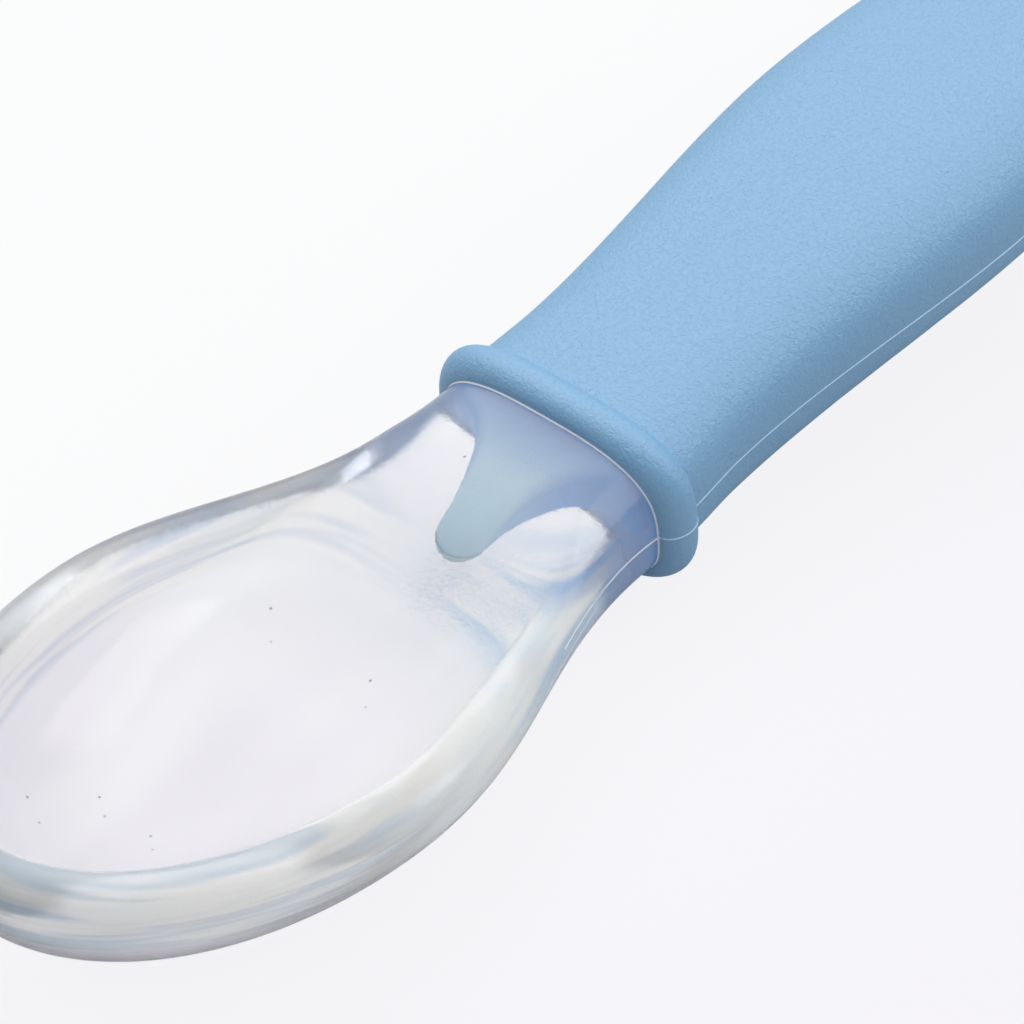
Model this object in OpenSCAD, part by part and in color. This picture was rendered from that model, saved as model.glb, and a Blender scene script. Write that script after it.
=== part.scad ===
// Baby spoon: a rigid handle with a flat tongue, and a clear soft bowl moulded round that tongue.
// Shapes are worked out along the neck's own axis, and the whole spoon is then tipped so that it
// rests on its bowl and on its tail. The bowl points to -X, and q is a distance from the collar's
// face towards the bowl's tip.

/* [Bowl] */
// Width of the bowl across its rim
bowl_w = 24.1; // [21:0.1:30]
// Length of the clear bowl from the collar to its tip
bowl_l = 39.7; // [36:0.1:56]
// Distance from the collar to the bowl's widest place
widest_at = 21.5; // [19:0.1:26]
// Distance from the collar to where the neck starts to widen
flare_from = 0.7; // [0:0.1:4]
// Height of the rim above the neck's axis at the tip
tip_rise = 7.8; // [6:0.1:10]
// Depth of the bowl's underside below the neck's axis
belly_d = 2.5; // [2:0.1:5]
// Thickness of the rounded rim
rim_t = 2.9; // [2:0.1:3.4]
// Thickness of the bowl's floor
floor_t = 1.9; // [1.2:0.1:2.4]

/* [Neck] */
// Width of the clear neck at the collar
neck_w = 13.5; // [12:0.1:17]
// Height of the clear neck at the collar
neck_h = 8.4; // [7.4:0.1:11]
// Distance from the collar to the thinnest place under the neck
waist_at = 12; // [9:0.1:15]
// Depth of the underside below the neck's axis at that place
waist_d = 2.9; // [2.6:0.1:3.4]
// Distance from the collar to where the hollow starts to fall
hollow_from = 3.5; // [2:0.1:5]
// Distance from the collar to where the hollow is at its full depth
hollow_to = 17; // [15:0.1:19]

/* [Collar] */
// Width of the collar's half-round bead along the handle
collar_w = 2.3; // [1.5:0.1:4]
// How far the bead stands out of the neck
collar_out = 0.95; // [0.5:0.05:1.6]

/* [Handle] */
// Length of the handle behind the collar
handle_l = 100; // [80:1:130]
// Width of the handle just behind the collar
start_w = 13.9; // [12:0.1:18]
// Height of the handle just behind the collar
start_h = 8.2; // [7:0.1:11]
// Width of the handle at its slight pinch behind the collar
pinch_w = 13.5; // [11:0.1:18]
// Height of the handle at its pinch
pinch_h = 8.3; // [6:0.1:11]
// Width of the handle at the finger grip
grip_w = 16.6; // [13:0.1:20]
// Height of the handle at the finger grip
grip_h = 8.2; // [6:0.1:11]
// Width of the handle at its slim middle
slim_w = 12.8; // [9:0.1:18]
// Height of the handle at its slim middle
slim_h = 6.8; // [5:0.1:10]
// Width of the handle near its tail
tail_w = 14.8; // [10:0.1:20]
// Height of the handle near its tail
tail_h = 7; // [5:0.1:10]
// Length of the rounded end
end_l = 9; // [5:0.5:14]

/* [Tongue] */
// Length of the tongue in front of the collar
tongue_l = 7.3; // [6.8:0.1:8.4]
// Width of the tongue's round-ended tip
tongue_w = 3.5; // [3:0.1:4.4]
// Thickness of the tongue
tongue_t = 2.7; // [2:0.1:3]
// Height of the tongue's middle plane above the neck's axis
tongue_z = 1.2; // [0.8:0.05:1.3]
// Width of the tongue's root
root_w = 10.8; // [9.5:0.1:11.4]
// Length of the straight root in front of the collar
root_l = 1.1; // [0.4:0.1:1.4]
// Depth of the tongue inside the collar
tongue_set = 1.2; // [0.6:0.1:1.4]

/* [Resting] */
// Angle at which the neck rises when the spoon lies on a table
neck_angle = 8; // [4:0.5:12]
// Depth of the flats that the spoon rests on
rest_cut = 0.15; // [0.05:0.05:0.3]

/* [Hidden] */

blue = [0.58, 0.74, 0.88];
clear = [0.90, 0.90, 0.93, 0.6];

// Section corners: 2 is an ellipse, and more is squarer
neck_corner = 2.9;
bowl_corner = 2.1;
hollow_corner = 2.2;
handle_corner = 3.1;
end_corner = 2;
// Roundness of the bowl's outline towards its tip
tip_corner = 1.95;
// Share of the rim's rise that follows a soft S and not a straight line
rim_bend_share = 0.15;
// How quickly the handle arches down: 1 is straight
arch_power = 2.3;

// Places along the handle as shares of its length, with the width and the height there,
// and the share of the height that lies below the mould line
handle_stop_shares = [0, 0.04, 0.25, 0.6, 0.86];
handle_widths = [start_w, pinch_w, grip_w, slim_w, tail_w];
handle_heights = [start_h, pinch_h, grip_h, slim_h, tail_h];
handle_below_shares = [0.5, 0.5, 0.4, 0.42, 0.45];

// Counts of the mesh
rim_steps = 8;
hollow_steps = 12;
hull_steps = 13;
neck_stations = 26;
tip_ribs = 26;
loop_points = 48;
bead_stations = 10;
handle_stations = 44;
end_stations = 10;
arch_rounds = 24;

top_steps = rim_steps + hollow_steps;
rib_points = top_steps + hull_steps + 1;
rib_count = 2 * neck_stations + 2 + tip_ribs - 1;
last_rib = rib_count - 1;

// Sum of all lengths: longer than the spoon, for cuts
reach = bowl_l + collar_w + handle_l;

function mix(a, b, u) = a + (b - a) * u;
function smooth(u) = let (v = max(0, min(1, u))) v * v * (3 - 2 * v);
function place(v, a, b) = (v - a) / (b - a);
function power(v, e) = sign(v) * pow(abs(v), e);

// A point of the neck's frame, tipped to the table
function tip_x(p) = p.x * cos(neck_angle) - p.z * sin(neck_angle);
function tip_z(p) = p.x * sin(neck_angle) + p.z * cos(neck_angle);

// Bowl: lines along its length

function rim_z(q) =
    let (u = q / bowl_l)
    tip_rise * mix(u, u * u * (3 - 2 * u), rim_bend_share);

function half_w(q) = mix(neck_w, bowl_w, smooth(place(q, flare_from, widest_at))) / 2;

function keel_z(q) =
    q < waist_at
    ? mix(-neck_h / 2, -waist_d, smooth(q / waist_at))
    : mix(-waist_d, -belly_d, smooth(place(q, waist_at, widest_at)));

function hollow_share(q) = smooth(place(q, hollow_from, hollow_to));

floor_z = floor_t - belly_d;

// Bowl: points of one side's section, k counting from the middle of the top, round the rim
// and down to the keel. Each is [distance outwards, height].

function dome_point(w, zr, u) = [
    w * pow(cos(90 * u), 2 / neck_corner),
    zr + (neck_h / 2 - zr) * pow(sin(90 * u), 2 / neck_corner)
];

function rim_point(w, zr, k) =
    let (a = 180 * k / rim_steps)
    [w - rim_t / 2 + rim_t / 2 * cos(a), zr + rim_t / 2 * sin(a)];

function hollow_point(w, zr, k) =
    let (a = 90 * (k - rim_steps) / hollow_steps)
    [(w - rim_t) * pow(cos(a), 2 / hollow_corner),
     zr - (zr - floor_z) * pow(sin(a), 2 / hollow_corner)];

function dish_point(w, zr, k) = k <= rim_steps ? rim_point(w, zr, k) : hollow_point(w, zr, k);

function hull_point(w, zr, zk, corner, k) =
    let (a = 90 * k / hull_steps)
    [w * pow(cos(a), 2 / corner), zr - (zr - zk) * pow(sin(a), 2 / corner)];

function side_point(w, zr, zk, share, corner, k) =
    k <= top_steps
    ? mix(dome_point(w, zr, (top_steps - k) / top_steps), dish_point(w, zr, top_steps - k), share)
    : hull_point(w, zr, zk, corner, k - top_steps);

// Ribs of the bowl: one side's sections from the collar to the widest place, then a fan of
// sections round the tip, then the other side's sections back to the collar

function neck_rib(station, side) =
    let (q = widest_at * station / neck_stations)
    let (corner = mix(neck_corner, bowl_corner, smooth(q / widest_at)))
    [for (k = [0 : rib_points - 1])
        let (p = side_point(half_w(q), rim_z(q), keel_z(q), hollow_share(q), corner, k))
        [-q, side * p[0], p[1]]];

function tip_radius(a) =
    pow(pow(cos(a) / (bowl_w / 2), tip_corner) + pow(sin(a) / (bowl_l - widest_at), tip_corner),
        -1 / tip_corner);

function tip_rib(a) =
    let (r = tip_radius(a <= 90 ? a : 180 - a))
    let (zr = rim_z(widest_at + r * sin(a)))
    [for (k = [0 : rib_points - 1])
        let (p = side_point(r, zr, -belly_d, 1, bowl_corner, k))
        [-widest_at - p[0] * sin(a), p[0] * cos(a), p[1]]];

function station_of(rib) = min(rib, last_rib - rib, neck_stations);

function rib(i) =
    i <= neck_stations ? neck_rib(i, 1)
    : i >= last_rib - neck_stations ? neck_rib(last_rib - i, -1)
    : tip_rib(180 * (i - neck_stations) / tip_ribs);

bowl_ribs = [for (i = [0 : last_rib]) rib(i)];

// The two ends of a rib lie on the middle line, where both sides share them
function bowl_index(i, k) =
    (k == 0 || k == rib_points - 1) ? station_of(i) * rib_points + k : i * rib_points + k;

function quad(a, b, c, d) = [[a, b, c], [a, c, d]];

bowl_faces = concat(
    [for (i = [0 : last_rib - 1], k = [0 : rib_points - 2])
        each [for (f = quad(bowl_index(i, k), bowl_index(i + 1, k),
                            bowl_index(i + 1, k + 1), bowl_index(i, k + 1)))
            if (f[0] != f[1] && f[1] != f[2] && f[2] != f[0]) f]],
    [concat([for (k = [0 : rib_points - 1]) bowl_index(0, k)],
            [for (k = [rib_points - 2 : -1 : 1]) bowl_index(last_rib, k)])]
);

// Handle: its lines along the length, s counting from the back of the collar

function stop_before(s, i = 0) =
    (i >= len(handle_stop_shares) - 2 || s < handle_stop_shares[i + 1] * handle_l)
    ? i : stop_before(s, i + 1);

function along(values, s) =
    let (i = stop_before(s))
    let (u = place(s / handle_l, handle_stop_shares[i], handle_stop_shares[i + 1]))
    mix(values[i], values[i + 1], smooth(u));

function end_share(s) = sqrt(max(0, 1 - pow(max(0, place(s, handle_l - end_l, handle_l)), 2)));

function arch_z(s, droop) = -droop * pow(s / handle_l, arch_power);
function arch_slope(s, droop) = atan(-droop * arch_power / handle_l * pow(s / handle_l, arch_power - 1));

function handle_point(s, droop, y, z) =
    let (a = arch_slope(s, droop))
    [collar_w + s - z * sin(a), y, arch_z(s, droop) + z * cos(a)];

function below(s) = along(handle_heights, s) * along(handle_below_shares, s) * end_share(s);
function above(s) = along(handle_heights, s) * (1 - along(handle_below_shares, s)) * end_share(s);

// The spoon's lowest places once it is tipped

tip_bottom = tip_rib(90);
bowl_low = min(min([for (i = [0 : neck_stations])
                        let (q = widest_at * i / neck_stations) tip_z([-q, 0, keel_z(q)])]),
               min([for (p = tip_bottom) tip_z(p)]));

handle_s = concat([for (i = [0 : handle_stations]) (handle_l - end_l) * i / handle_stations],
                  [for (i = [1 : end_stations - 1]) handle_l - end_l * (1 - sin(90 * i / end_stations))]);

function tail_low(droop) = min([for (s = handle_s) tip_z(handle_point(s, droop, 0, -below(s)))]);

// The arch drops until the tail is as low as the bowl
function settled(droop, rounds) =
    rounds == 0 ? droop : settled(droop + tail_low(droop) - bowl_low, rounds - 1);
droop = settled(handle_l * tan(neck_angle), arch_rounds);

// Handle: closed loops round it, from the collar's face to the tail

function oval(half_wide, up, down, corner, k) =
    let (a = 360 * k / loop_points)
    [half_wide * power(cos(a), 2 / corner), (sin(a) >= 0 ? up : down) * power(sin(a), 2 / corner)];

function bead_loop(i) =
    let (a = 180 * i / bead_stations)
    let (u = (1 - cos(a)) / 2)
    let (out = collar_out * sin(a))
    let (corner = mix(neck_corner, handle_corner, u))
    [for (k = [0 : loop_points - 1])
        let (p = oval(mix(neck_w, start_w, u) / 2 + out, mix(neck_h, start_h, u) / 2 + out,
                      mix(neck_h, start_h, u) / 2 + out, corner, k))
        [collar_w * u, p[0], p[1]]];

function handle_loop(s) = [
    for (k = [0 : loop_points - 1])
        let (corner = mix(end_corner, handle_corner, end_share(s)))
        let (p = oval(along(handle_widths, s) / 2 * end_share(s), above(s), below(s), corner, k))
        handle_point(s, droop, p[0], p[1])
];

handle_loops = concat([for (i = [0 : bead_stations - 1]) bead_loop(i)],
                      [for (s = handle_s) handle_loop(s)]);
tail_tip = handle_point(handle_l, droop, 0, 0);
last_loop = len(handle_loops) - 1;

function loop_index(i, k) = i * loop_points + k % loop_points;

handle_faces = concat(
    [for (i = [0 : last_loop - 1], k = [0 : loop_points - 1])
        each quad(loop_index(i, k), loop_index(i + 1, k), loop_index(i + 1, k + 1), loop_index(i, k + 1))],
    [[for (k = [0 : loop_points - 1]) k]],
    [for (k = [0 : loop_points - 1])
        [loop_index(last_loop, k), (last_loop + 1) * loop_points, loop_index(last_loop, k + 1)]]
);

// Where the tipped spoon goes, so that it rests on the table with its middle over the origin

tip_end = min([for (p = tip_bottom) tip_x(p)]);
tail_end = max([for (s = handle_s, k = [0 : loop_points - 1]) tip_x(handle_loop(s)[k])]);

module laid() {
    translate([-(tip_end + tail_end) / 2, 0, -bowl_low - rest_cut])
        rotate([0, -neck_angle, 0])
            children();
}

module on_table() {
    difference() {
        laid() children();
        translate([-reach, -reach, -reach])
            cube([2 * reach, 2 * reach, reach]);
    }
}

// The tongue: a flat plate with a straight root, hollow-sided shoulders and a round end.
// The bowl's pocket is the same shape.
module tongue(root_set) {
    shoulder_r = (root_w - tongue_w) / 2;
    shoulder_q = root_l + shoulder_r;
    translate([0, 0, tongue_z - tongue_t / 2])
        linear_extrude(height = tongue_t) {
            difference() {
                translate([-shoulder_q, -root_w / 2])
                    square([shoulder_q + root_set, root_w]);
                for (side = [-1, 1])
                    translate([-shoulder_q, side * root_w / 2])
                        circle(r = shoulder_r, $fn = 96);
            }
            translate([tongue_w / 2 - tongue_l, -tongue_w / 2])
                square([tongue_l - tongue_w / 2, tongue_w]);
            translate([tongue_w / 2 - tongue_l, 0])
                circle(d = tongue_w, $fn = 96);
        }
}

// The clear bowl: the dish and the neck in one, moulded round the tongue
module bowl() {
    color(clear)
        on_table()
            difference() {
                polyhedron([for (r = bowl_ribs) each r], bowl_faces);
                tongue(tongue_set);
            }
}

// The handle: the collar's bead, the grip and the tongue in one moulding
module handle() {
    color(blue)
        on_table() {
            polyhedron(concat([for (l = handle_loops) each l], [tail_tip]), handle_faces);
            tongue(tongue_set);
        }
}

echo(droop = droop, lift = -bowl_low - rest_cut, shift = -(tip_end + tail_end) / 2);

bowl();
handle();
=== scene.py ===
"""Baby spoon: a rigid blue handle whose tongue is moulded into a clear soft bowl.

Shapes are worked out in millimetres along the neck's own axis. There x runs from the collar's face
to the tail, q is a distance from the collar's face towards the bowl's tip, and z is up. The spoon is
then tipped and laid on the table, as the frame has it, in metres.
"""

import math

import bpy
import numpy as np
from mathutils import Matrix, Vector


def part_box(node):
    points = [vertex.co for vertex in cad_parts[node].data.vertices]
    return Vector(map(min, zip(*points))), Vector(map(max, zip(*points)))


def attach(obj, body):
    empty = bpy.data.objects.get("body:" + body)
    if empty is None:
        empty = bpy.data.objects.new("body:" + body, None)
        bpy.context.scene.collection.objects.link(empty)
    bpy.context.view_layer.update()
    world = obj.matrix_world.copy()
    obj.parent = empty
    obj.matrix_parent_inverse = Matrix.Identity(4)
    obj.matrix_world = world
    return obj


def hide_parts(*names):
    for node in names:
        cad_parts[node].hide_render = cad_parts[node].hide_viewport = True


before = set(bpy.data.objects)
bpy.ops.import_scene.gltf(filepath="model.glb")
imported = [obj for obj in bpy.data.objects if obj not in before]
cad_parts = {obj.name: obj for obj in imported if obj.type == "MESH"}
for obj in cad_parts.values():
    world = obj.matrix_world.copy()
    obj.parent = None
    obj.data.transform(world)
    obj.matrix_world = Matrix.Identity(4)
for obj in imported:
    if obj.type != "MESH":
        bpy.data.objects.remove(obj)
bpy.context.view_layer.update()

MM = 0.001

# Bowl
bowl_w = 24.1
bowl_l = 39.7
widest_at = 21.5
flare_from = 0.7
tip_rise = 7.8
belly_d = 2.5
rim_t = 2.9
floor_t = 1.9

# Neck
neck_w = 13.5
neck_h = 8.4
waist_at = 12
waist_d = 2.9
hollow_from = 3.5
hollow_to = 17

# Collar
collar_w = 2.3
collar_out = 0.95

# Handle, with its widths and heights at the stops along its length
handle_l = 100
end_l = 9
handle_stop_shares = [0, 0.04, 0.25, 0.6, 0.86]
handle_widths = [13.9, 13.5, 16.6, 12.8, 14.8]
handle_heights = [8.2, 8.3, 8.2, 6.8, 7]
handle_below_shares = [0.5, 0.5, 0.4, 0.42, 0.45]

# Tongue
tongue_l = 7.3
tongue_w = 2.9
tongue_top_at_root = 4
tongue_top_at_tip = 0.9
tongue_low_at_root = -0.15
tongue_low_at_tip = 0.3
root_w = 10.6
root_l = 1.1
shoulder_l = 4.7
shoulder_curve = 1.7
root_corner_r = 1.1
tongue_set = 1.2
tongue_edge = 0.25
tongue_shoulder_w = 0.95
tongue_shoulder_h = 0.9

# Resting
neck_angle = math.radians(8)
rest_cut = 0.15
rest_softness = 0.2

# Section corners: 2 is an ellipse, and more is squarer
neck_corner = 2.9
bowl_corner = 2.1
hollow_corner = 2.2
handle_corner = 3.1
end_corner = 2
tip_corner = 1.95

# Bends: how much of the rim's line is bent, and how late the handle's arch drops
rim_bend_share = 0.15
arch_power = 2.3

# Share of a section's upper side that the rounded rim takes
rim_share = 0.4

# Traces of the mould: the line where its halves meet, and the lip that the silicone leaves on the collar
mould_line_h = 0.05
mould_line_w = 0.05
bowl_line_share = 0.15
bowl_line_l = 9
lip_h = 0.05
lip_l = 0.08
neck_in_collar = 0.05

# Share of a section's half width beyond which the mould line can lie
outer_share = 0.5

# How finely the curves are cut, first in short steps and then evenly
lip_shares = [0, 0.15, 0.3, 0.5, 0.75, 1]
neck_first_places = [0.2, 0.28, 0.4, 0.55]
neck_steps = 116
tip_ribs = 160
top_first_shares = [0, 0.0005, 0.001, 0.002, 0.0035, 0.006, 0.01, 0.015, 0.022, 0.03]
top_steps = 72
hull_first_shares = [0, 0.001, 0.002, 0.003, 0.005, 0.008, 0.012, 0.02]
hull_steps = 52
handle_first_places = [0, 0.05, 0.12, 0.25, 0.5]
handle_steps = 170
handle_end_steps = 34
loop_first_degrees = [0, 0.12, 0.25, 0.4, 0.55, 0.75, 1, 1.4, 2, 3]
loop_steps = 38
bead_steps = 26
corner_steps = 14
shoulder_steps = 24
tongue_end_steps = 36
tongue_top_rings = 9
tongue_low_rings = 6

# Rounds in which the handle's arch settles
droop_rounds = 24

# Steps that the mould line takes: over and under the rim's outside, and on either side of the handle
line_steps_over = 2
line_steps_under = 6
line_loop_steps = 3

# Places of the materials in a piece's list: plain faces, traces of the mould, faces inside the silicone
SKIN = 0
TRACE = 1
WETTED = 2

# Plastic: the two colours that each finish goes between. The edge's paler blues are a painted highlight
# along the mould line
skin_blues = ((0.139, 0.318, 0.514, 1), (0.155, 0.341, 0.543, 1))
mould_line_highlight_blues = ((0.42, 0.60, 0.80, 1), (0.46, 0.64, 0.84, 1))
wetted_painted_blues = ((0, 0.31, 0.82, 1), (0.56, 0.86, 1, 1))
plastic_grains_per_metre = 4200
plastic_wrinkle = 1
plastic_grain_h = 0.1
skin_relief = 0.75
edge_relief = 0.1
wetted_relief = 0.3
satin_sheen = 1
wetted_sheen = 0.1
# The wetted blues are painted light towards the tongue's tip and painted shade on its steep faces
wetted_flat_upwardness = 0.8
wetted_steep_upwardness = 0.2
wetted_painted_shade_share = 0.6
wetted_painted_light_share = 1.6

# Silicone: its clearness, its grain, its colours, and the places along x between which it gets darker
skin_clear_share = 0.84
edge_clear_share = 0.3
silicone_grains_per_metre = 4500
silicone_wrinkle = 0.6
silicone_grain_h = 0.06
silicone_relief = 0.2
silicone_edge_relief = 0.1
silicone_pale = (0.995, 0.995, 1, 1)
silicone_deep = (0.885, 0.865, 0.905, 1)
silicone_depth = (0.60, 0.66, 0.74, 1)
silicone_density = 15
darker_from_x = -35
darker_to_x = -68
band_stretch = (0.3, 1, 1)
band_from_share = 0.3
band_to_share = 0.7
band_depth_share = 0.45
dust_grey = (0.35, 0.34, 0.36, 1)
speck_upwardness = 0.3

# The silicone is milkier along the near rim, away from the neck; the rims' colours are painted reflection,
# shade and glints
milky_clear_share = 0.6
milky_from = 8
milky_to = 17
milky_slant = 1.2
milky_under_rim = 1.3
milky_over_rim = 0.2
milky_lower_outside = 1.6
milky_side = 3
outside_upwardness = 0.6
rim_blue_from = 7
rim_blue_to = 38
# Painted reflection and shade along the near rim, and its warm painted glint
near_rim_painted_stops = (
    (0, (0.42, 0.60, 0.78, 1)),
    (0.1, (0.64, 0.75, 0.83, 1)),
    (0.25, (0.83, 0.87, 0.90, 1)),
    (0.42, (0.97, 0.98, 0.98, 1)),
    (0.65, (0.68, 0.75, 0.81, 1)),
    (1, (0.56, 0.66, 0.74, 1)),
)
near_rim_painted_glint = (0.94, 0.93, 0.88, 1)
# Painted shade and painted glints of the far rim
far_rim_painted_shade_blue = (0.63, 0.69, 0.80, 1)
far_rim_painted_glint = (0.98, 0.97, 0.92, 1)
# Streaks of painted glints along the rim
glint_streak_stretch = (0.35, 0.35, 6)
glint_streak_from_share = 0.37
glint_streak_to_share = 0.6

# Table
table_half = 3000
table_under = 0.03
table_matt = (0.55, 0.55, 0.56, 1)
table_white = (0.99, 0.995, 1, 1)
# Faint lavender painted shade on the table towards the near side
table_painted_shade = (0.94, 0.925, 0.965, 1)
table_tint_from_y = 30
table_tint_to_y = -35
table_white_share = 0.9

# Room round the spoon, and the one seen through silicone. Directions are azimuth and elevation in degrees
light_middle = (150, 60)
room_stops = (
    (0, (0.36, 0.40, 0.44, 1)),
    (0.6, (0.42, 0.45, 0.48, 1)),
    (0.82, (0.65, 0.65, 0.66, 1)),
    (0.9, (1.5, 1.5, 1.5, 1)),
    (0.96, (2.45, 2.45, 2.45, 1)),
)
through_middle = (155, 40)
through_from = -0.4
through_to = 0.8
through_dark = (0.22, 0.255, 0.33, 1)
through_pale = (0.72, 0.75, 0.79, 1)

# Side lamp, in metres, degrees and watts
lamp_azimuth = 38
lamp_elevation = 42
lamp_distance = 1.2
lamp_size = 0.9
lamp_power = 5.4
lamp_colour = (1, 0.98, 0.95)


def mix(a, b, u):
    return a + (b - a) * u


def smooth(u):
    v = np.clip(u, 0, 1)
    return v * v * (3 - 2 * v)


def place(v, a, b):
    """How far a value is from a to b, as a share."""
    return (v - a) / (b - a)


def oval_radius(cosine, sine, wide, tall, corner):
    """How far a rounded section reaches in a direction."""
    return (np.abs(cosine / wide) ** corner + np.abs(sine / tall) ** corner) ** (-1 / corner)


def mould_line(height):
    """How far the mould line stands out at a height above or below it."""
    return mould_line_h * np.exp(-((height / mould_line_w) ** 2))


def laid(points, shift, lift):
    """Points of the neck's frame, tipped and laid on the table."""
    x, y, z = points[..., 0], points[..., 1], points[..., 2]
    c, s = math.cos(neck_angle), math.sin(neck_angle)
    return np.stack([x * c - z * s + shift, y, x * s + z * c + lift], -1)


def flattened(points):
    """The places that would reach into the table are pressed flat on it, without an edge."""
    pressed = points.copy()
    z = points[..., 2]
    deepest = (math.hypot(rest_cut, rest_softness) - rest_cut) / 2
    pressed[..., 2] = (z + np.sqrt(z * z + rest_softness**2)) / 2 - deepest
    return pressed


# Bowl: lines along its length


def rim_z(q):
    u = q / bowl_l
    return tip_rise * mix(u, u * u * (3 - 2 * u), rim_bend_share)


def half_w(q):
    return mix(neck_w, bowl_w, smooth(place(q, flare_from, widest_at))) / 2


def keel_z(q):
    to_waist = mix(-neck_h / 2, -waist_d, smooth(q / waist_at))
    to_belly = mix(-waist_d, -belly_d, smooth(place(q, waist_at, widest_at)))
    return np.where(q < waist_at, to_waist, to_belly)


def hollow_share(q):
    return smooth(place(q, hollow_from, hollow_to))


def fine_start(first, steps):
    """Shares from 0 to 1 that start with very short steps, for the mould line."""
    return np.concatenate([first, np.linspace(first[-1], 1, steps + 1)[1:]])


TOP_SHARES = fine_start(top_first_shares, top_steps)
HULL_SHARES = fine_start(hull_first_shares, hull_steps)
RIM_INDEX = len(TOP_SHARES) - 1
LINE_STEPS = range(RIM_INDEX - line_steps_over, RIM_INDEX + line_steps_under)


def top_side(half, rim, share):
    """From the rim's outside over it to the middle of the hollow, or over the neck's crown."""
    t = TOP_SHARES
    a = t * math.pi / 2
    dome_y = half * np.cos(a) ** (2 / neck_corner)
    dome_z = rim + (neck_h / 2 - rim) * np.sin(a) ** (2 / neck_corner)
    b = math.pi * np.minimum(t / rim_share, 1)
    on_rim = t <= rim_share
    u = math.pi / 2 * np.clip(place(t, rim_share, 1), 0, 1)
    floor_z = floor_t - belly_d
    hollow_y = (half - rim_t) * np.cos(u) ** (2 / hollow_corner)
    hollow_z = rim - (rim - floor_z) * np.sin(u) ** (2 / hollow_corner)
    dish_y = np.where(on_rim, half - rim_t / 2 + rim_t / 2 * np.cos(b), hollow_y)
    dish_z = np.where(on_rim, rim + rim_t / 2 * np.sin(b), hollow_z)
    return mix(dome_y, dish_y, share), mix(dome_z, dish_z, share)


def hull_side(half, rim, keel, corner):
    """From the rim's outside down to the keel."""
    a = HULL_SHARES * math.pi / 2
    r = oval_radius(np.cos(a), np.sin(a), half, rim - keel, corner)
    return r * np.cos(a), rim - r * np.sin(a)


def bowl_side(half, rim, keel, share, corner, line):
    """One side of a section: distances outwards and heights, from the middle of the top to the keel."""
    top_y, top_z = top_side(half, rim, share)
    hull_y, hull_z = hull_side(half, rim, keel, corner)
    y = np.concatenate([top_y[::-1], hull_y[1:]])
    z = np.concatenate([top_z[::-1], hull_z[1:]])
    return y + line * mould_line(z - rim) * (y > half * outer_share), z


def lip(y, z, q):
    """The silicone's thin lip against the collar."""
    height = lip_h * max(0, 1 - q / lip_l) ** 2 * (q >= 0)
    run_y, run_z = np.gradient(y), np.gradient(z)
    length = np.hypot(run_y, run_z)
    return y - height * run_z / length, z + height * run_y / length


LIP_PLACES = [-neck_in_collar] + [lip_l * share for share in lip_shares]
NECK_PLACES = np.concatenate([
    LIP_PLACES,
    neck_first_places[:-1],
    np.linspace(neck_first_places[-1], widest_at, neck_steps),
])


def neck_rib(q, side):
    corner = mix(neck_corner, bowl_corner, smooth(q / widest_at))
    line = mix(1, bowl_line_share, smooth(q / bowl_line_l))
    y, z = bowl_side(half_w(q), rim_z(q), float(keel_z(q)), hollow_share(q), corner, line)
    y, z = lip(y, z, q)
    y[0] = y[-1] = 0
    return np.stack([np.full_like(y, -q), side * y, z], -1)


def tip_rib(a):
    r = oval_radius(math.cos(a), math.sin(a), bowl_w / 2, bowl_l - widest_at, tip_corner)
    rim = rim_z(widest_at + r * math.sin(a))
    y, z = bowl_side(r, rim, -belly_d, 1, bowl_corner, bowl_line_share)
    y[0] = y[-1] = 0
    return np.stack([-widest_at - y * math.sin(a), y * math.cos(a), z], -1)


def bowl_ribs():
    """One side's sections from the collar to the widest place, a fan round the tip, the other side's."""
    one_side = [neck_rib(q, 1) for q in NECK_PLACES]
    tip = [tip_rib(math.pi * i / tip_ribs) for i in range(1, tip_ribs)]
    other_side = [neck_rib(q, -1) for q in NECK_PLACES[::-1]]
    return np.array(one_side + tip + other_side)


def bowl_faces(rib_count, points):
    """Quads between ribs, and the material of each. Both sides share the middle line."""
    stations = len(NECK_PLACES) - 1
    lined = np.searchsorted(NECK_PLACES, bowl_line_l)

    def index(i, k):
        if k in (0, points - 1):
            i = min(i, rib_count - 1 - i, stations)
        return i * points + k

    faces, choice = [], []
    for i in range(rib_count - 1):
        for k in range(points - 1):
            corners = [index(i, k), index(i, k + 1), index(i + 1, k + 1), index(i + 1, k)]
            face = list(dict.fromkeys(corners))
            if len(face) > 2:
                station = min(i, rib_count - 2 - i)
                on_lip = station < len(LIP_PLACES) - 1
                on_line = station < lined and k in LINE_STEPS
                faces.append(face)
                choice.append(TRACE if on_lip or on_line else SKIN)
    end = [index(0, k) for k in range(points)]
    end += [index(rib_count - 1, k) for k in range(points - 2, 0, -1)]
    faces.append(end[::-1])
    choice.append(SKIN)
    return faces, choice


# Handle: lines along its length, s counting from the back of the collar


def along(values, s):
    stops = np.array(handle_stop_shares) * handle_l
    i = np.clip(np.searchsorted(stops, s, side="right") - 1, 0, len(stops) - 2)
    v = np.array(values, float)
    return mix(v[i], v[i + 1], smooth(place(s, stops[i], stops[i + 1])))


def end_share(s):
    return np.sqrt(np.maximum(0, 1 - np.maximum(0, place(s, handle_l - end_l, handle_l)) ** 2))


def on_arch(s, droop, y, z):
    """Points at a height above or below the handle's arched middle line."""
    slope = np.arctan(-droop * arch_power / handle_l * (s / handle_l) ** (arch_power - 1))
    middle = -droop * (s / handle_l) ** arch_power
    return np.stack([collar_w + s - z * np.sin(slope), y, middle + z * np.cos(slope)], -1)


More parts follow.
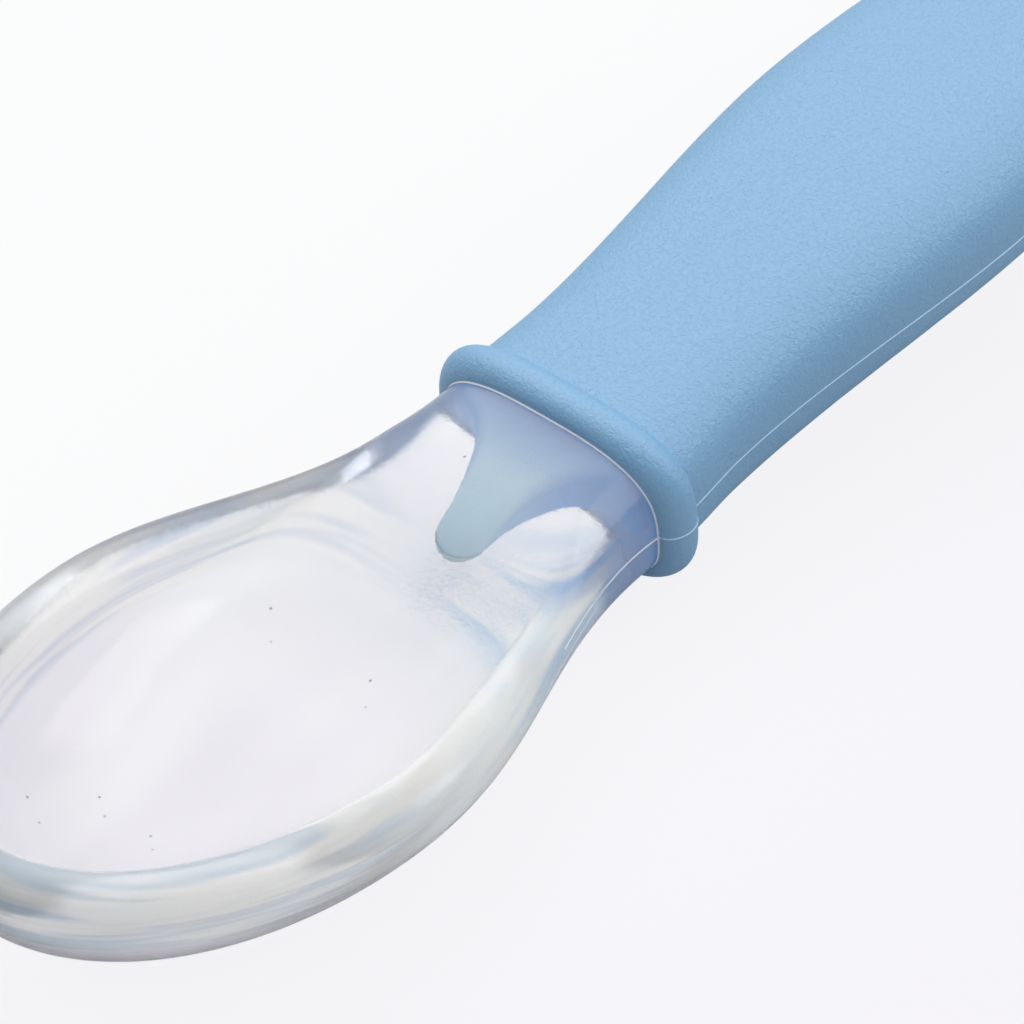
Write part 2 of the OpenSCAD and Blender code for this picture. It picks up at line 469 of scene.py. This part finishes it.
def loop_angles():
    """Angles round a closed section, with short steps at the mould line on either side."""
    even = np.linspace(loop_first_degrees[-1], 90, loop_steps)
    quarter = np.radians(np.concatenate([loop_first_degrees, even[1:]]))
    half = np.concatenate([quarter, math.pi - quarter[-2::-1]])
    return np.concatenate([half, half[1:-1] + math.pi])


LOOP_ANGLES = loop_angles()


def oval(half_wide, up, down, corner):
    """A closed section: outwards and up."""
    c, s = np.cos(LOOP_ANGLES), np.sin(LOOP_ANGLES)
    tall = np.where(s >= 0, up, down)
    r = oval_radius(c, s, half_wide, tall, corner)
    y, z = r * c, r * s
    return y + np.sign(c) * mould_line(z) * (np.abs(c) > outer_share), z


def bead_loop(a):
    u = (1 - math.cos(a)) / 2
    out = collar_out * math.sin(a)
    half_wide = mix(neck_w, handle_widths[0], u) / 2 + out
    half_tall = mix(neck_h, handle_heights[0], u) / 2 + out
    y, z = oval(half_wide, half_tall, half_tall, mix(neck_corner, handle_corner, u))
    return np.stack([np.full_like(y, collar_w * u), y, z], -1)


def handle_loop(s, droop):
    share = end_share(s)
    height = along(handle_heights, s) * share
    below = along(handle_below_shares, s)
    corner = mix(end_corner, handle_corner, share)
    y, z = oval(along(handle_widths, s) / 2 * share, height * (1 - below), height * below, corner)
    return on_arch(s, droop, y, z)


HANDLE_PLACES = np.concatenate([
    handle_first_places[:-1],
    np.linspace(handle_first_places[-1], handle_l - end_l, handle_steps),
    handle_l - end_l * (1 - np.sin(np.linspace(0, math.pi / 2, handle_end_steps)[1:-1])),
])


def handle_droop(bowl_low):
    """The arch drops until the tail is as low as the bowl."""
    droop = handle_l * math.tan(neck_angle)
    s = HANDLE_PLACES
    for _ in range(droop_rounds):
        below = along(handle_heights, s) * along(handle_below_shares, s) * end_share(s)
        droop += laid(on_arch(s, droop, 0 * s, -below), 0, 0)[:, 2].min() - bowl_low
    return droop


def handle_loops(droop):
    bead = [bead_loop(a) for a in np.linspace(0, math.pi, bead_steps + 1)[:-1]]
    grip = [handle_loop(s, droop) for s in HANDLE_PLACES]
    return np.array(bead + grip)


def on_mould_line(k, points):
    """Whether a step round a loop lies on the mould line, on either side of the handle."""
    from_line = k % (points // 2)
    return min(from_line, points // 2 - 1 - from_line) < line_loop_steps


def tube_faces(loops, points, tip):
    """Quads between closed loops, a fan to the tip's point, a flat first face, and each one's material."""
    faces, choice = [], []
    for i in range(loops - 1):
        for k in range(points):
            n = (k + 1) % points
            faces.append([i * points + k, i * points + n, (i + 1) * points + n, (i + 1) * points + k])
            choice.append(TRACE if on_mould_line(k, points) else SKIN)
    last = (loops - 1) * points
    faces += [[last + k, last + (k + 1) % points, tip] for k in range(points)]
    faces.append(list(range(points))[::-1])
    return faces, choice + [SKIN] * points + [WETTED]


def arc(centre, along_r, across_r, start, end, steps, curve=2):
    """Part of an oval, straighter than an ellipse where the curve is under 2."""
    a = np.radians(np.linspace(start, end, steps + 1))
    c, s = np.cos(a), np.sin(a)
    x = centre[0] + along_r * np.sign(c) * np.abs(c) ** (2 / curve)
    y = centre[1] + across_r * np.sign(s) * np.abs(s) ** (2 / curve)
    return list(zip(x, y))


def tongue_outline():
    """One turn round the tongue: a straight root, hollow shoulders and a round end."""
    corner_y = root_w / 2 - root_corner_r
    corner = arc((root_corner_r - root_l, corner_y), root_corner_r, root_corner_r, 90, 180, corner_steps)
    shoulder_w = corner_y - tongue_w / 2
    shoulder_x = -root_l - shoulder_l
    shoulder = arc((shoulder_x, corner_y), shoulder_l, shoulder_w, 0, -90, shoulder_steps, shoulder_curve)
    right = [(tongue_set, root_w / 2)] + corner + shoulder[1:]
    end_r = tongue_w / 2
    end = arc((end_r - tongue_l, 0), end_r, end_r, 90, 270, tongue_end_steps)
    left = [(x, -y) for x, y in right[::-1]]
    return np.array(right + end + left)


def tongue_face(x, at_root, at_tip):
    """The heights of a face of the tongue, from its place inside the collar to the thin tip."""
    return mix(at_root, at_tip, place(x, tongue_set, -tongue_l))


def tongue_mesh():
    """The tongue's rings, from its upper face over the rounded edge to its lower face."""
    outline = tongue_outline()
    run = np.roll(outline, -1, 0) - np.roll(outline, 1, 0)
    run /= np.linalg.norm(run, axis=1)[:, None]
    inwards = np.stack([-run[:, 1], run[:, 0]], -1)
    inwards[0], inwards[-1] = (0, -1), (0, 1)
    rings = []
    for a in np.radians(np.linspace(0, 90, tongue_top_rings)):
        flat = outline + inwards * tongue_shoulder_w * (1 - math.sin(a))
        top = tongue_face(flat[:, 0], tongue_top_at_root, tongue_top_at_tip)
        rings.append(np.column_stack([flat, top - tongue_shoulder_h * (1 - math.cos(a))]))
    for a in np.radians(np.linspace(90, 0, tongue_low_rings)):
        flat = outline + inwards * tongue_edge * (1 - math.sin(a))
        low = tongue_face(flat[:, 0], tongue_low_at_root, tongue_low_at_tip)
        rings.append(np.column_stack([flat, low + tongue_edge * (1 - math.cos(a))]))
    points = len(outline)
    lowest = (len(rings) - 1) * points
    faces = [list(range(points)), list(range(lowest, lowest + points))[::-1]]
    for i in range(len(rings) - 1):
        for k in range(points):
            n = (k + 1) % points
            faces.append([i * points + k, (i + 1) * points + k, (i + 1) * points + n, i * points + n])
    return np.concatenate(rings), faces


# Pieces


def mesh_object(name, points, faces, materials, choice):
    mesh = bpy.data.meshes.new(name)
    mesh.from_pydata((points * MM).tolist(), [], faces)
    for material in materials:
        mesh.materials.append(material)
    mesh.polygons.foreach_set("use_smooth", [len(face) < 5 for face in faces])
    mesh.polygons.foreach_set("material_index", choice)
    piece = bpy.data.objects.new(name, mesh)
    bpy.context.scene.collection.objects.link(piece)
    return piece


def soft_bowl(ribs, shift, lift, materials):
    points = flattened(laid(ribs, shift, lift))
    faces, choice = bowl_faces(len(ribs), ribs.shape[1])
    used = sorted({v for face in faces for v in face})
    new = {v: i for i, v in enumerate(used)}
    faces = [[new[v] for v in face] for face in faces]
    return mesh_object("soft_bowl", points.reshape(-1, 3)[used], faces, materials, choice)


def blue_handle(droop, shift, lift, materials):
    loops = handle_loops(droop)
    tip = on_arch(np.array([float(handle_l)]), droop, np.zeros(1), np.zeros(1))
    grip = np.concatenate([loops.reshape(-1, 3), tip])
    grip_faces, choice = tube_faces(len(loops), loops.shape[1], len(grip) - 1)
    tongue, tongue_faces = tongue_mesh()
    faces = grip_faces + [[v + len(grip) for v in face] for face in tongue_faces]
    points = flattened(laid(np.concatenate([grip, tongue]), shift, lift))
    return mesh_object("blue_handle", points, faces, materials, choice + [WETTED] * len(tongue_faces))


# Shader nodes and node groups


def add_node(tree, kind, settings=None, inputs=None):
    """A node whose inputs are plain values or the outputs of other nodes."""
    node = tree.nodes.new(kind)
    for name, value in (settings or {}).items():
        setattr(node, name, value)
    for name, value in (inputs or {}).items():
        if isinstance(value, bpy.types.NodeSocket):
            tree.links.new(value, node.inputs[name])
        else:
            node.inputs[name].default_value = value
    return node


def new_group(name, takes, gives):
    """An empty node group with named sockets. Also gives the group's own inputs and outputs."""
    tree = bpy.data.node_groups.new(name, "ShaderNodeTree")
    for socket in takes:
        tree.interface.new_socket(socket, in_out="INPUT", socket_type="NodeSocketFloat")
    for socket in gives:
        tree.interface.new_socket(socket, in_out="OUTPUT", socket_type="NodeSocketFloat")
    return tree, add_node(tree, "NodeGroupInput").outputs, add_node(tree, "NodeGroupOutput").inputs


def placed_group(tree, group, inputs):
    """The outputs of a node group that is placed with its own values."""
    return add_node(tree, "ShaderNodeGroup", {"node_tree": group}, inputs).outputs


def worked_out(tree, operation, values, clamp=False):
    """A sum, product or comparison of numbers and outputs."""
    settings = {"operation": operation, "use_clamp": clamp}
    return add_node(tree, "ShaderNodeMath", settings, dict(enumerate(values))).outputs[0]


def stretched(tree, vector, factors):
    settings = {"operation": "MULTIPLY"}
    return add_node(tree, "ShaderNodeVectorMath", settings, {0: vector, 1: factors}).outputs[0]


def smooth_step(tree, value, start, end):
    """0 at the start and 1 at the end, with a smooth change between them."""
    settings = {"interpolation_type": "SMOOTHSTEP"}
    inputs = {"Value": value, "From Min": start, "From Max": end}
    return add_node(tree, "ShaderNodeMapRange", settings, inputs).outputs["Result"]


def blend(tree, share, first, second, kind="MIX"):
    """A colour that goes over from the first to the second with the share."""
    settings = {"data_type": "RGBA", "blend_type": kind}
    inputs = {"Factor": share, "A": first, "B": second}
    return add_node(tree, "ShaderNodeMix", settings, inputs).outputs["Result"]


def ramp_colour(tree, share, stops):
    """A colour between the stops, each a share and a colour."""
    ramp = add_node(tree, "ShaderNodeValToRGB", None, {"Fac": share})
    elements = ramp.color_ramp.elements
    for element, (position, colour) in zip(elements, (stops[0], stops[-1])):
        element.position = position
        element.color = colour
    for position, colour in stops[1:-1]:
        elements.new(position).color = colour
    return ramp.outputs["Color"]


def parts_of(tree, vector):
    """The X, Y and Z of a place or a direction."""
    return add_node(tree, "ShaderNodeSeparateXYZ", None, {0: vector}).outputs


def place_on_piece(tree):
    return add_node(tree, "ShaderNodeTexCoord").outputs["Object"]


def upwardness(tree):
    """1 on faces that look up, 0 on upright ones and -1 on those that look down."""
    return parts_of(tree, add_node(tree, "ShaderNodeNewGeometry").outputs["Normal"])["Z"]


def grain_group():
    """Fine wrinkled grain, as spark-worn moulds leave it. Puts out a height from 0 to 1."""
    tree, taken, given = new_group("fine_grain", ["Grains per metre", "Wrinkle"], ["Height"])
    noise = add_node(tree, "ShaderNodeTexNoise", {"noise_dimensions": "3D"}, {
        "Vector": place_on_piece(tree),
        "Scale": taken["Grains per metre"],
        "Distortion": taken["Wrinkle"],
        "Detail": 3,
        "Roughness": 0.55,
    })
    tree.links.new(noise.outputs["Fac"], given["Height"])
    return tree


def along_group():
    """How far a place is from the collar towards the bowl's tip. Puts out 0 to 1."""
    tree, taken, given = new_group("along_tongue", ["Collar", "Tip"], ["Share"])
    x = parts_of(tree, place_on_piece(tree))["X"]
    tree.links.new(smooth_step(tree, x, taken["Collar"], taken["Tip"]), given["Share"])
    return tree


def painted_glint_streaks(tree, x, y, level):
    """Long streaks that follow the rim, where glints are painted."""
    line = add_node(tree, "ShaderNodeCombineXYZ", None, {"X": x, "Y": y, "Z": level}).outputs[0]
    noise = add_node(tree, "ShaderNodeTexNoise", None, {
        "Vector": stretched(tree, line, glint_streak_stretch),
        "Scale": 240,
        "Detail": 2,
        "Distortion": 0.3,
    })
    return smooth_step(tree, noise.outputs["Fac"], glint_streak_from_share, glint_streak_to_share)


def rim_group():
    """Places near the rim's straight line, on the near side and the far side, and streaks along it for
    painted glints.
    """
    takes = ["Slope", "Under", "Over", "Lower outside", "Neck", "Bowl", "Far side", "Near side"]
    tree, taken, given = new_group("along_rim", takes, ["Near rim", "Far rim", "Streaks"])
    x, y, z = parts_of(tree, place_on_piece(tree))
    level = worked_out(tree, "MULTIPLY_ADD", [x, taken["Slope"], z])
    outside = smooth_step(tree, upwardness(tree), outside_upwardness, 0)
    lifted = worked_out(tree, "MULTIPLY_ADD", [outside, taken["Lower outside"], level])
    height = smooth_step(tree, lifted, taken["Under"], taken["Over"])
    aside = worked_out(tree, "ABSOLUTE", [y])
    distance = worked_out(tree, "MULTIPLY_ADD", [aside, -milky_slant, x])
    away = smooth_step(tree, distance, taken["Neck"], taken["Bowl"])
    side = smooth_step(tree, y, taken["Far side"], taken["Near side"])
    rim = worked_out(tree, "MULTIPLY", [height, away])
    near = worked_out(tree, "MULTIPLY", [rim, side])
    tree.links.new(near, given["Near rim"])
    tree.links.new(worked_out(tree, "SUBTRACT", [rim, near]), given["Far rim"])
    tree.links.new(painted_glint_streaks(tree, x, y, level), given["Streaks"])
    return tree


def specks_group():
    """A few dust specks on the faces that look up. Puts out 1 on a speck."""
    takes = ["Cells per metre", "Size", "Share of cells"]
    tree, taken, given = new_group("dust_specks", takes, ["Mask"])
    cells = add_node(tree, "ShaderNodeTexVoronoi", {"voronoi_dimensions": "2D"},
                     {"Vector": place_on_piece(tree), "Scale": taken["Cells per metre"]}).outputs
    chance = add_node(tree, "ShaderNodeSeparateColor", None, {0: cells["Color"]}).outputs[0]
    small = worked_out(tree, "LESS_THAN", [cells["Distance"], taken["Size"]])
    rare = worked_out(tree, "LESS_THAN", [chance, taken["Share of cells"]])
    upper = worked_out(tree, "GREATER_THAN", [upwardness(tree), speck_upwardness])
    speck = worked_out(tree, "MULTIPLY", [small, rare])
    tree.links.new(worked_out(tree, "MULTIPLY", [speck, upper]), given["Mask"])
    return tree


# Materials


def new_material(name):
    material = bpy.data.materials.new(name)
    material.use_nodes = True
    material.node_tree.nodes.clear()
    return material, material.node_tree


def grained_plastic(tree, groups, colours, relief, sheen, share=None):
    """Plastic between two colours, which follow its grain or the share that is given."""
    grain = {"Grains per metre": plastic_grains_per_metre, "Wrinkle": plastic_wrinkle}
    height = placed_group(tree, groups["grain"], grain)["Height"]
    bump = add_node(tree, "ShaderNodeBump", None,
                    {"Height": height, "Strength": relief, "Distance": plastic_grain_h * MM})
    surface = add_node(tree, "ShaderNodeBsdfPrincipled", None, {
        "Base Color": blend(tree, height if share is None else share, *colours),
        "Roughness": 0.45,
        "IOR": 1.49,
        "Specular IOR Level": sheen,
        "Normal": bump.outputs["Normal"],
    })
    add_node(tree, "ShaderNodeOutputMaterial", None, {"Surface": surface.outputs["BSDF"]})


def satin_plastic(name, groups, colours, relief):
    """Blue plastic with a fine grain between two tones, and a broad satin sheen."""
    material, tree = new_material(name)
    grained_plastic(tree, groups, colours, relief, satin_sheen)
    return material


def plastic_in_silicone(name, groups, colours, relief, collar, tip):
    """The same plastic wetted by the silicone: deep blue at the collar and paler towards the tip as
    painted light, darker on steep faces as painted shade.
    """
    material, tree = new_material(name)
    share = placed_group(tree, groups["along"], {"Collar": collar, "Tip": tip})["Share"]
    # Painted shade: steep faces are kept darker
    steep_painted_shade = add_node(tree, "ShaderNodeMapRange", None, {
        "Value": upwardness(tree),
        "From Min": wetted_flat_upwardness,
        "From Max": wetted_steep_upwardness,
        "To Max": -wetted_painted_shade_share,
    }).outputs["Result"]
    # Painted light: paler towards the tip
    paler = worked_out(tree, "MULTIPLY_ADD", [share, wetted_painted_light_share, steep_painted_shade], clamp=True)
    grained_plastic(tree, groups, colours, relief, wetted_sheen, paler)
    return material


def silicone_tone(tree, groups):
    """The clear silicone's colour: a little darker towards the tip, in soft bands, with dust specks."""
    places = {"Collar": darker_from_x * MM, "Tip": darker_to_x * MM}
    share = placed_group(tree, groups["along"], places)["Share"]
    specks = {"Cells per metre": 300, "Size": 0.022, "Share of cells": 0.12}
    dust = placed_group(tree, groups["specks"], specks)["Mask"]
    bands = add_node(tree, "ShaderNodeTexNoise", None, {
        "Vector": stretched(tree, place_on_piece(tree), band_stretch),
        "Scale": 160,
        "Detail": 1,
        "Distortion": 0.4,
    })
    spread = add_node(tree, "ShaderNodeMapRange", None, {
        "Value": bands.outputs["Fac"],
        "From Min": band_from_share,
        "From Max": band_to_share,
        "To Min": -band_depth_share,
        "To Max": band_depth_share,
    }).outputs["Result"]
    deep = worked_out(tree, "ADD", [share, spread], clamp=True)
    cloud = blend(tree, deep, silicone_pale, silicone_deep)
    return blend(tree, dust, cloud, dust_grey)


def near_rim_painted_tone(tree, groups, blue_place, streaks):
    """The milky rim's colour, painted reflection and shade: blue near the neck, pale at the waist,
    grey-blue on, with warm painted glints in streaks.
    """
    share = placed_group(tree, groups["along"], blue_place)["Share"]
    return blend(tree, streaks, ramp_colour(tree, share, near_rim_painted_stops), near_rim_painted_glint)


def darken_far_rim_with_painted_shade(tree, tone, far, streaks):
    """Painted shade: deepens the clear silicone's colour along the far rim, and leaves a few warm painted
    glints.
    """
    return blend(tree, far, tone, blend(tree, streaks, far_rim_painted_shade_blue, far_rim_painted_glint), "MULTIPLY")


def silicone_surface(tree, clear_share, tone, normal):
    return add_node(tree, "ShaderNodeBsdfPrincipled", None, {
        "Base Color": tone,
        "Roughness": 0.08,
        "IOR": 1.41,
        "Transmission Weight": clear_share,
        "Normal": normal,
    }).outputs["BSDF"]


def clear_silicone(name, groups, clear_share, relief, rim_place=None, blue_place=None):
    """Clear silicone with fine grain. A rim is milky on the near side, with painted reflection, shade and
    glints, and deeper on the far one with painted shade.
    """
    material, tree = new_material(name)
    grain = {"Grains per metre": silicone_grains_per_metre, "Wrinkle": silicone_wrinkle}
    height = placed_group(tree, groups["grain"], grain)["Height"]
    bump = add_node(tree, "ShaderNodeBump", None,
                    {"Height": height, "Strength": relief, "Distance": silicone_grain_h * MM})
    normal = bump.outputs["Normal"]
    tone = silicone_tone(tree, groups)
    if rim_place:
        rim = placed_group(tree, groups["rim"], rim_place)
        # The far rim gets painted shade and glints, the near one painted reflection and shade
        clear = darken_far_rim_with_painted_shade(tree, tone, rim["Far rim"], rim["Streaks"])
        milky = near_rim_painted_tone(tree, groups, blue_place, rim["Streaks"])
        surface = add_node(tree, "ShaderNodeMixShader", None, {
            "Fac": rim["Near rim"],
            1: silicone_surface(tree, clear_share, clear, normal),
            2: silicone_surface(tree, milky_clear_share, milky, normal),
        }).outputs[0]
    else:
        surface = silicone_surface(tree, clear_share, tone, normal)
    inside = {"Color": silicone_depth, "Density": silicone_density}
    volume = add_node(tree, "ShaderNodeVolumeAbsorption", None, inside).outputs["Volume"]
    add_node(tree, "ShaderNodeOutputMaterial", None, {"Surface": surface, "Volume": volume})
    return material


def rim_on_table(shift, lift):
    """Where the rim's straight line lies, and how far from it the silicone is milky, in metres."""
    ends = [laid(np.array([-q, 0, rim_z(q)]), shift, lift) * MM for q in (widest_at, bowl_l)]
    slope = (ends[1][2] - ends[0][2]) / (ends[1][0] - ends[0][0])
    level = ends[0][2] - slope * ends[0][0]
    return {
        "Slope": -slope,
        "Under": level - milky_under_rim * MM,
        "Over": level + milky_over_rim * MM,
        "Lower outside": milky_lower_outside * MM,
        "Neck": (shift - milky_from) * MM,
        "Bowl": (shift - milky_to) * MM,
        "Far side": milky_side * MM,
        "Near side": -milky_side * MM,
    }


def bowl_silicones(groups, shift, lift):
    """The materials SKIN and TRACE of the bowl."""
    rim_place = rim_on_table(shift, lift)
    blue_place = {"Collar": (shift - rim_blue_from) * MM, "Tip": (shift - rim_blue_to) * MM}
    return [
        clear_silicone("clear_silicone", groups, skin_clear_share, silicone_relief, rim_place, blue_place),
        clear_silicone("silicone_edge", groups, edge_clear_share, silicone_edge_relief),
    ]


def handle_plastics(groups, shift):
    """The materials SKIN, TRACE and WETTED of the handle. The last is the tongue's."""
    collar, tip = (shift + tongue_set) * MM, (shift - tongue_l) * MM
    return [
        satin_plastic("satin_blue_plastic", groups, skin_blues, skin_relief),
        # Paler blues on the mould line: painted highlight
        satin_plastic("plastic_edge_highlight", groups, mould_line_highlight_blues, edge_relief),
        plastic_in_silicone("plastic_in_silicone", groups, wetted_painted_blues, wetted_relief, collar, tip),
    ]


# Studio


def seen_directly(tree):
    """1 for what the camera sees, also through clear silicone."""
    path = add_node(tree, "ShaderNodeLightPath").outputs
    return worked_out(tree, "ADD", [path["Is Camera Ray"], path["Is Transmission Ray"]], clamp=True)


def pale_table():
    """What the camera sees of the table top is mostly its own plain white, with a faint lavender painted
    shade towards the near side.
    """
    material, tree = new_material("pale_table")
    y = parts_of(tree, place_on_piece(tree))["Y"]
    nearness = smooth_step(tree, y, table_tint_from_y * MM, table_tint_to_y * MM)
    tint = blend(tree, nearness, table_white, table_painted_shade)
    matt = add_node(tree, "ShaderNodeBsdfDiffuse", None, {"Color": table_matt}).outputs[0]
    white = add_node(tree, "ShaderNodeEmission", None, {"Color": tint, "Strength": 1}).outputs[0]
    share = worked_out(tree, "MULTIPLY", [seen_directly(tree), table_white_share])
    surface = add_node(tree, "ShaderNodeMixShader", None, {"Fac": share, 1: matt, 2: white}).outputs[0]
    add_node(tree, "ShaderNodeOutputMaterial", None, {"Surface": surface})
    return material


def studio_floor():
    mesh = bpy.data.meshes.new("table")
    quarters = ((-1, -1), (1, -1), (1, 1), (-1, 1))
    corners = [(x * table_half * MM, y * table_half * MM, -table_under * MM) for x, y in quarters]
    mesh.from_pydata(corners, [], [[0, 1, 2, 3]])
    mesh.materials.append(pale_table())
    table = bpy.data.objects.new("table", mesh)
    bpy.context.scene.collection.objects.link(table)


def outwards(azimuth, elevation):
    """A direction from the spoon. Azimuth 0 is -Y and 90 is +X."""
    a, e = math.radians(azimuth), math.radians(elevation)
    return Vector((math.sin(a) * math.cos(e), -math.cos(a) * math.cos(e), math.sin(e)))


def towards(tree, direction):
    """1 where the world is seen in this direction, and -1 in the opposite one."""
    settings = {"operation": "DOT_PRODUCT"}
    seen = add_node(tree, "ShaderNodeTexCoord").outputs["Generated"]
    return add_node(tree, "ShaderNodeVectorMath", settings, {0: seen, 1: direction}).outputs["Value"]


def studio_world():
    """A grey-blue room round one broad soft light, overhead and behind the spoon."""
    world = bpy.data.worlds.new("studio")
    bpy.context.scene.world = world
    world.use_nodes = True
    tree = world.node_tree
    tree.nodes.clear()
    lit = add_node(tree, "ShaderNodeMapRange", None,
                   {"Value": towards(tree, outwards(*light_middle)), "From Min": -1, "From Max": 1})
    around = ramp_colour(tree, lit.outputs["Result"], room_stops)
    far = smooth_step(tree, towards(tree, outwards(*through_middle)), through_from, through_to)
    through = blend(tree, far, through_dark, through_pale)
    path = add_node(tree, "ShaderNodeLightPath")
    shown = blend(tree, path.outputs["Is Transmission Ray"], around, through)
    background = add_node(tree, "ShaderNodeBackground", None, {"Color": shown})
    add_node(tree, "ShaderNodeOutputWorld", None, {"Surface": background.outputs[0]})


def side_light():
    """A square soft lamp that faces the spoon."""
    lamp = bpy.data.lights.new("side_light", "AREA")
    lamp.shape = "SQUARE"
    lamp.size = lamp_size
    lamp.energy = lamp_power
    lamp.color = lamp_colour
    holder = bpy.data.objects.new("side_light", lamp)
    out = outwards(lamp_azimuth, lamp_elevation)
    holder.location = out * lamp_distance
    holder.rotation_mode = "QUATERNION"
    holder.rotation_quaternion = out.to_track_quat("Z", "Y")
    bpy.context.scene.collection.objects.link(holder)


# Camera, as fitted to the photograph's neck and collar. Picture places are in pixels from the top left.
picture_width = 1024
collar_in_picture = (551.25, 474.55)
pixels_per_mm = 20.534
camera_distance = 255.36
camera_azimuth = math.radians(-44.79)
camera_elevation = math.radians(47.83)
camera_roll = math.radians(-6.55)


def studio_camera(shift, lift):
    a, e, roll = camera_azimuth, camera_elevation, camera_roll
    back = np.array([math.sin(a) * math.cos(e), -math.cos(a) * math.cos(e), math.sin(e)])
    level = np.array([math.cos(a), math.sin(a), 0])
    steep_painted_shade = np.cross(back, level)
    right = math.cos(roll) * level + math.sin(roll) * steep_painted_shade
    up = -math.sin(roll) * level + math.cos(roll) * steep_painted_shade
    sideways = (collar_in_picture[0] - picture_width / 2) / pixels_per_mm
    upwards = -(collar_in_picture[1] - picture_width / 2) / pixels_per_mm
    where = camera_distance * back - sideways * right - upwards * up
    camera = bpy.data.cameras.new("camera")
    camera.lens = camera.sensor_width * pixels_per_mm * camera_distance / picture_width
    holder = bpy.data.objects.new("camera", camera)
    axes = [Vector(laid(axis, 0, 0)) for axis in (right, up, back)]
    turned = Matrix(axes).transposed().to_4x4()
    holder.matrix_world = Matrix.Translation(Vector(laid(where, shift, lift)) * MM) @ turned
    bpy.context.scene.collection.objects.link(holder)
    bpy.context.scene.camera = holder


ribs = bowl_ribs()
bowl_low = laid(ribs, 0, 0)[..., 2].min()
droop = handle_droop(bowl_low)
lift = -bowl_low - rest_cut
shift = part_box("bowl")[0].x / MM - laid(ribs, 0, 0)[..., 0].min()

groups = {"grain": grain_group(), "along": along_group(), "specks": specks_group(), "rim": rim_group()}
bowl = soft_bowl(ribs, shift, lift, bowl_silicones(groups, shift, lift))
handle = blue_handle(droop, shift, lift, handle_plastics(groups, shift))
for piece, node, slot in ((bowl, "bowl", "silicone"), (handle, "handle", "plastic")):
    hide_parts(node)
    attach(piece, "root")

studio_floor()
studio_world()
side_light()
studio_camera(shift, lift)
bpy.context.scene.view_settings.view_transform = "Standard"
